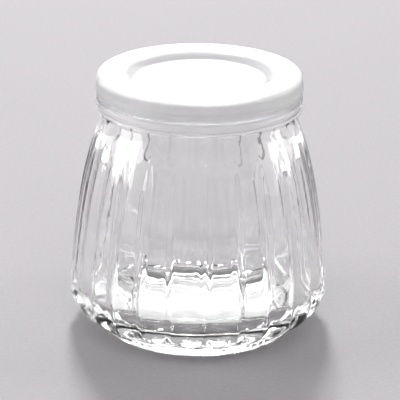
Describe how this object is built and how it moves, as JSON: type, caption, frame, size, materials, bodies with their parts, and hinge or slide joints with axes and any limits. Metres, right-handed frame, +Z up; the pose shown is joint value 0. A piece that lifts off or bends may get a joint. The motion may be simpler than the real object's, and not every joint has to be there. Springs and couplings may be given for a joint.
{
  "type": "ribbed glass jar with press-on lid",
  "caption": "Small clear glass pudding jar with upright ribs and narrow grooves, a low beaded foot and a thin plastic press-on lid, empty.",
  "frame": {"origin": "middle of the circle that the jar stands on, at the height of the surface below it", "axes": "+Z up along the axis of the jar, towards the lid; a groove between two ribs lies on +X and on +Y"},
  "size_m": [0.0664, 0.0664, 0.068],
  "materials": {
    "clear_glass": "clear, fire polished",
    "milky_plastic": "satin, slightly see-through"
  },
  "bodies": {
    "root": {"glass_jar": "clear_glass", "plastic_lid": "milky_plastic"}
  },
  "joints": []
}
